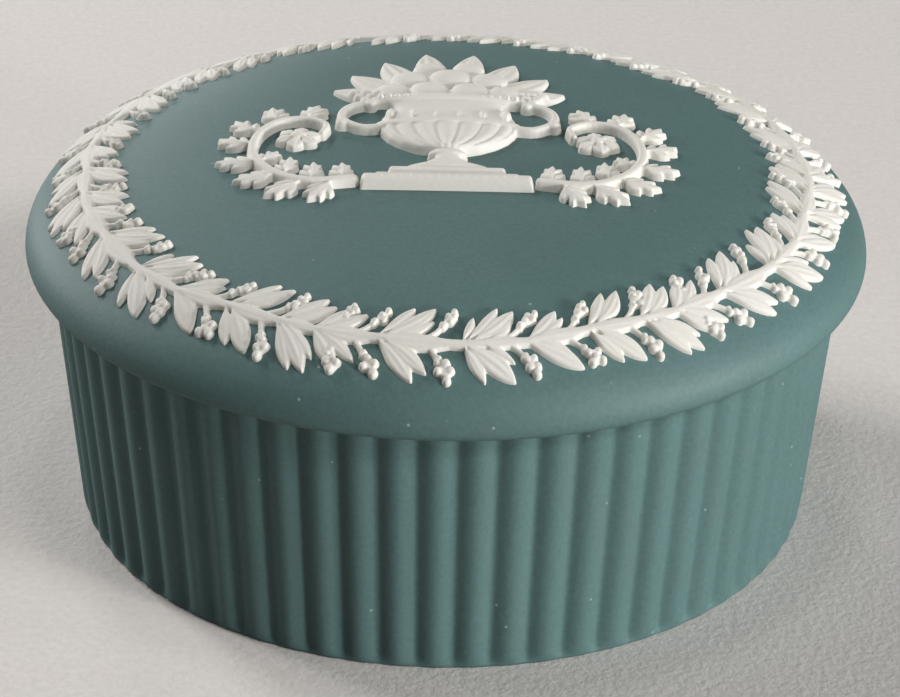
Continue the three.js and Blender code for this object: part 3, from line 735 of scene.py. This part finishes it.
def bend_round(start_degrees):
    """A bend function that lays a flat strip on the dome, along the stem's circle."""

    def bend(along, across, up):
        angle = math.radians(start_degrees) + along / STEM_RADIUS
        radius = STEM_RADIUS - across
        slope = lid_slope(radius)
        normal = 1 / np.sqrt(1 + slope * slope)
        reach = radius - slope * normal * up
        return np.stack([reach * np.cos(angle), reach * np.sin(angle), lid_height(radius) + normal * up], 1)

    return bend


def lay_on_dome(x, y, up):
    """A bend function that lays a flat relief on the middle of the dome."""
    return np.stack([x, y, lid_height(np.hypot(x, y)) + up], 1)


def lay_strip(index, length, name, material, node):
    """One strip at its place in the ring."""
    start = STRIP_START + (index - STRIPS_BEFORE_START) * STRIP_TURN
    points, faces = make_strip(length, index).geometry(bend_round(start))
    smooth_object(name, points, faces, "cover", material, node)


def make_wreath(material):
    """The whole strips, laid end to end, and the short one that closes the ring at the back."""
    for index in range(STRIP_COUNT):
        node = f"wreath_strip_{index + 1}"
        lay_strip(index, STRIP_LENGTH, node + "_fine", material, node)
    short_length = STEM_RADIUS * math.radians(360 - STRIP_COUNT * STRIP_TURN)
    lay_strip(STRIP_COUNT, short_length, "wreath_short_fine", material, "wreath_strip_short")


def curve_through(points, steps):
    """A smooth line through the points, with this many steps from one to the next."""
    points = np.asarray(points, float)
    ends = np.concatenate([[2 * points[0] - points[1]], points, [2 * points[-1] - points[-2]]])
    line = []
    for k in range(1, len(ends) - 2):
        before, here, ahead, beyond = ends[k - 1 : k + 3]
        for t in np.arange(steps) / steps:
            bend = (2 * before - 5 * here + 4 * ahead - beyond) * t**2
            twist = (3 * here - before - 3 * ahead + beyond) * t**3
            line.append(here + 0.5 * ((ahead - before) * t + bend + twist))
    return np.array(line + [points[-1]])


def draw_fan(flat):
    """Leaves that spread out behind the fruit."""
    for x, y, width in FAN:
        foot = (x * FAN_FOOT_SHARE, FAN_FOOT)
        flat.leaf(foot, (x, y), width, FAN_HEIGHT, curve=FAN_BOW * x, vein=0.08)


def draw_fruit(flat):
    """A heap of round fruit, and a bunch of grapes over the rim on each side."""
    for x, y, radius, height in FRUIT:
        flat.ball((x, y), radius, height)
    for row, count in enumerate(GRAPE_ROWS):
        up = GRAPES_AT[1] - row * GRAPE_PITCH[1]
        for place in range(count):
            x = -GRAPES_AT[0] + (place - (count - 1) / 2) * GRAPE_PITCH[0]
            flat.ball((x, up), GRAPE_RADIUS, GRAPE_HEIGHT)
            flat.ball((-x, up), GRAPE_RADIUS, GRAPE_HEIGHT)


def draw_urn(flat):
    """The urn's stepped plinth, foot, fluted bowl and neck."""
    for low, high, height in PLINTH:
        flat.slab(low, high, height)
    flat.vessel(*URN_FOOT)
    flat.vessel(*URN_KNOP)
    flat.vessel(*URN_BOWL, flutes=FLUTE_COUNT)
    flat.vessel(*URN_BELT)
    flat.vessel(*URN_NECK)
    flat.vessel(*URN_RIM)
    low, high = NECK_LEAF_SPAN
    for place in range(NECK_LEAF_COUNT):
        x = (place - (NECK_LEAF_COUNT - 1) / 2) * NECK_LEAF_PITCH
        flat.leaf((x, low), (x, high), NECK_LEAF_WIDTH, NECK_LEAF_HEIGHT, vein=0.1)


def draw_handles(flat):
    """A curved handle on each side, with a knop at its lower bend."""
    handle = curve_through(HANDLE, CURVE_STEPS)
    for side in (-1, 1):
        flat.rod(handle * (side, 1), HANDLE_WIDTH, HANDLE_HEIGHT)
        flat.ball((side * HANDLE_KNOP[0], HANDLE_KNOP[1]), HANDLE_KNOP_RADIUS, HANDLE_KNOP_HEIGHT)


def draw_beads(flat, count, pitch, up, radius, height):
    """A level row of beads."""
    for place in range(count):
        flat.ball((pitch * (place - (count - 1) / 2), up), radius, height)


def make_urn(material):
    """A footed urn with two handles and a heap of fruit, upright on a stepped plinth."""
    flat = Relief(URN_LOW, URN_HIGH, URN_GRID)
    draw_fan(flat)
    draw_fruit(flat)
    draw_urn(flat)
    draw_handles(flat)
    draw_beads(flat, **RIM_BEADS)
    draw_beads(flat, **PLINTH_BEADS)
    flat.soften()
    points, faces = flat.geometry(lay_on_dome)
    smooth_object("urn_fine", points, faces, "cover", material, "relief_urn")


def lobed_leaf(flat, foot, tip, width, height, bow):
    """A scroll leaf: a middle lobe and two pairs of side lobes."""
    foot = np.array(foot)
    tip = np.array(tip)
    along = tip - foot
    beside = np.array([-along[1], along[0]]) / np.hypot(*along)
    side_height = LOBE_HEIGHT_SHARE * height
    for start, stop, reach, share in LOBES:
        for side in (-1, 1):
            root = foot + start * along
            end = foot + stop * along + side * reach * width * beside
            flat.leaf(root, end, share * width, side_height, curve=-side * LOBE_BOW, vein=0.04)
    flat.leaf(foot, tip, MIDDLE_LOBE_SHARE * width, height, curve=bow, vein=0.07)


def draw_rosette(flat, middle, side):
    """A small flower with a round eye."""
    for turn in np.radians(ROSETTE_TURN + 360 / ROSETTE_PETALS * np.arange(ROSETTE_PETALS)):
        tip = middle + ROSETTE_RADIUS * np.array([side * math.cos(turn), math.sin(turn)])
        flat.leaf(middle, tip, PETAL_WIDTH, PETAL_HEIGHT, vein=0.07, belly=0.64)
    flat.ball(middle, EYE_RADIUS, EYE_HEIGHT)


def make_spray(side, material):
    """A scroll of leaves that leaves the plinth, curls up and in, and ends at a rosette."""
    edges = sorted((side * SCROLL_LOW[0], side * SCROLL_HIGH[0]))
    flat = Relief((edges[0], SCROLL_LOW[1]), (edges[1], SCROLL_HIGH[1]))
    mirror = np.array([side, 1])
    bow = SCROLL_LEAF_BOW * side
    for foot, tip in OUTER_LEAVES:
        lobed_leaf(flat, foot * mirror, tip * mirror, OUTER_LEAF_WIDTH, OUTER_LEAF_HEIGHT, -bow)
    for foot, tip in INNER_LEAVES:
        lobed_leaf(flat, foot * mirror, tip * mirror, INNER_LEAF_WIDTH, INNER_LEAF_HEIGHT, bow)
    flat.rod(curve_through(SCROLL, CURVE_STEPS) * mirror, SCROLL_WIDTH, SCROLL_HEIGHT, SCROLL_END_WIDTH)
    draw_rosette(flat, ROSETTE_CENTRE * mirror, side)
    flat.soften()
    points, faces = flat.geometry(lay_on_dome)
    name = "relief_spray_right" if side > 0 else "relief_spray_left"
    smooth_object(name + "_fine", points, faces, "cover", material, name)


def set_input(node, name, value):
    """Sets a constant on a node's socket."""
    node.inputs[name].default_value = value


def textured(nodes, links, place, kind, **settings):
    """A texture node on the object's own coordinates."""
    texture = nodes.new(kind)
    for name, value in settings.items():
        set_input(texture, name, value)
    links.new(place.outputs["Object"], texture.inputs["Vector"])
    return texture


def ramp(nodes, links, source, span, dark, pale):
    """Colours that run from dark at the span's low end of the source to pale at its high end."""
    colours = nodes.new("ShaderNodeValToRGB")
    for element, position, colour in zip(colours.color_ramp.elements, span, (dark, pale)):
        element.position = position
        element.color = (*colour, 1)
    links.new(source, colours.inputs["Fac"])
    return colours.outputs["Color"]


def blend(nodes, links, mode, factor, first, second):
    """Mixes two colours, each a socket or a plain colour; the factor is a socket or a number.

    On a mix node, input 0 is the factor, inputs 6 and 7 are the colours and output 2 is the result.
    """
    mix = nodes.new("ShaderNodeMix")
    mix.data_type = "RGBA"
    mix.blend_type = mode
    for socket, value in ((mix.inputs[0], factor), (mix.inputs[6], first), (mix.inputs[7], second)):
        if isinstance(value, bpy.types.NodeSocket):
            links.new(value, socket)
        else:
            socket.default_value = value
    return mix.outputs[2]


def add_bump(nodes, links, height, shader, strength, distance):
    """Gives the surface a faint relief from a height texture."""
    bump = nodes.new("ShaderNodeBump")
    set_input(bump, "Strength", strength)
    set_input(bump, "Distance", distance)
    links.new(height, bump.inputs["Height"])
    links.new(bump.outputs["Normal"], shader.inputs["Normal"])


def new_material(name, roughness, gloss):
    """A material with one shader: itself, its nodes, links, shader and texture coordinates."""
    material = bpy.data.materials.new(name)
    material.use_nodes = True
    nodes = material.node_tree.nodes
    shader = nodes["Principled BSDF"]
    set_input(shader, "Roughness", roughness)
    set_input(shader, "Specular IOR Level", gloss)
    return material, nodes, material.node_tree.links, shader, nodes.new("ShaderNodeTexCoord")


def stoneware(name, colour, deep, speck_colour, speck_share, grain, gloss):
    """A dry fired clay body: faint clouds, a fine grain and sparse specks."""
    material, nodes, links, shader, place = new_material(name, CLAY_ROUGHNESS, gloss)

    cloud = textured(nodes, links, place, "ShaderNodeTexNoise", Scale=CLOUD_SCALE, Detail=3, Roughness=0.5)
    body = ramp(nodes, links, cloud.outputs["Fac"], NOISE_SPAN, deep, colour)
    fine = textured(nodes, links, place, "ShaderNodeTexNoise", Scale=GRAIN_SCALE, Detail=2)
    mottle = ramp(nodes, links, fine.outputs["Fac"], NOISE_SPAN, (1 - grain,) * 3, (1 + grain,) * 3)
    body = blend(nodes, links, "MULTIPLY", 1.0, body, mottle)

    speck = textured(nodes, links, place, "ShaderNodeTexVoronoi", Scale=SPECK_SCALE, Randomness=1)
    near = ramp(nodes, links, speck.outputs["Distance"], SPECK_SPAN, WHITE, BLACK)
    chosen = ramp(nodes, links, speck.outputs["Color"], (1 - speck_share, 1.01 - speck_share), BLACK, WHITE)
    spots = blend(nodes, links, "MULTIPLY", 1.0, near, chosen)
    links.new(blend(nodes, links, "MIX", spots, body, (*speck_colour, 1)), shader.inputs["Base Color"])

    tooth = textured(nodes, links, place, "ShaderNodeTexNoise", Scale=TOOTH_SCALE, Detail=3)
    add_bump(nodes, links, tooth.outputs["Fac"], shader, TOOTH_STRENGTH, TOOTH_DEPTH_M)
    return material


def make_camera():
    """The photograph's camera: its view, its small roll and its place."""
    forward = Vector((0, math.cos(CAMERA_ELEVATION), -math.sin(CAMERA_ELEVATION)))
    right = Vector((1, 0, 0))
    up = right.cross(forward)
    eye = (-forward * CAMERA_DISTANCE + right * CAMERA_SIDE + up * CAMERA_LIFT) * LID_RADIUS * MM
    turned_right = right * math.cos(CAMERA_ROLL) + up * math.sin(CAMERA_ROLL)
    turned_up = up * math.cos(CAMERA_ROLL) - right * math.sin(CAMERA_ROLL)
    data = bpy.data.cameras.new("camera")
    data.sensor_fit = "HORIZONTAL"
    data.sensor_width = SENSOR_WIDTH
    data.lens = FOCAL_PX / IMAGE_WIDTH_PX * SENSOR_WIDTH
    data.clip_start = CLIP_START_M
    camera = bpy.data.objects.new("camera", data)
    turn = Matrix((turned_right, turned_up, -forward)).transposed().to_4x4()
    camera.matrix_world = Matrix.Translation(eye) @ turn
    bpy.context.scene.collection.objects.link(camera)
    bpy.context.scene.camera = camera


def add_lamp(azimuth, elevation, watts):
    """A soft lamp aimed at the box; azimuth 0 is in front and 90 to the right, in degrees."""
    name = f"lamp_{azimuth}_{elevation}"
    data = bpy.data.lights.new(name, "AREA")
    data.shape = "SQUARE"
    data.size = LAMP_SIZE
    data.energy = watts
    lamp = bpy.data.objects.new(name, data)
    turn = math.radians(azimuth)
    lift = math.radians(elevation)
    away = Vector((math.sin(turn) * math.cos(lift), -math.cos(turn) * math.cos(lift), math.sin(lift)))
    lamp.location = away * LAMP_DISTANCE
    lamp.rotation_euler = (Vector((0, 0, AIM_HEIGHT)) - lamp.location).to_track_quat("-Z", "Y").to_euler()
    bpy.context.scene.collection.objects.link(lamp)


def make_floor():
    """A wide sheet of pale paper with a faint tooth."""
    material, nodes, links, shader, place = new_material("floor", PAPER_ROUGHNESS, PAPER_GLOSS)
    tooth = textured(nodes, links, place, "ShaderNodeTexNoise", Scale=PAPER_SCALE, Detail=4, Roughness=0.6)
    dark, pale = [tuple(share * part for part in PAPER) for share in (1 - PAPER_MOTTLE, 1 + PAPER_MOTTLE)]
    seen = ramp(nodes, links, tooth.outputs["Fac"], NOISE_SPAN, dark, pale)
    sight = nodes.new("ShaderNodeLightPath")
    bounced = (*(BOUNCE * part for part in PAPER), 1)
    paper = blend(nodes, links, "MIX", sight.outputs["Is Camera Ray"], bounced, seen)
    links.new(paper, shader.inputs["Base Color"])
    add_bump(nodes, links, tooth.outputs["Fac"], shader, PAPER_STRENGTH, PAPER_DEPTH_M)

    mesh = bpy.data.meshes.new("floor")
    corners = [(x * FLOOR_HALF_M, y * FLOOR_HALF_M, 0) for x, y in ((-1, -1), (1, -1), (1, 1), (-1, 1))]
    mesh.from_pydata(corners, [], [(0, 1, 2, 3)])
    mesh.materials.append(material)
    floor = bpy.data.objects.new("floor", mesh)
    bpy.context.scene.collection.objects.link(floor)


def make_light():
    """Small lamps: most of the light comes low from the right, the rest from behind and the left."""
    world = bpy.data.worlds.new("studio")
    bpy.context.scene.world = world
    world.use_nodes = True
    background = world.node_tree.nodes["Background"]
    set_input(background, "Color", (*WORLD_COLOUR, 1))
    set_input(background, "Strength", WORLD_STRENGTH)
    for azimuth, elevation, watts in LAMPS:
        add_lamp(azimuth, elevation, watts)


teal = stoneware(
    "teal_stoneware",
    colour=(0.102, 0.186, 0.18),
    deep=(0.096, 0.175, 0.169),
    speck_colour=(0.34, 0.42, 0.4),
    speck_share=0.36,
    grain=0.07,
    gloss=0.36,
)
white = stoneware(
    "white_stoneware",
    colour=(0.815, 0.792, 0.734),
    deep=(0.795, 0.762, 0.69),
    speck_colour=(0.58, 0.53, 0.42),
    speck_share=0.03,
    grain=0.02,
    gloss=0.12,
)

make_camera()
make_pot(teal)
make_lid(teal)
make_wreath(white)
make_urn(white)
make_spray(-1, white)
make_spray(1, white)
make_floor()
make_light()

bpy.context.scene.view_settings.view_transform = "Standard"
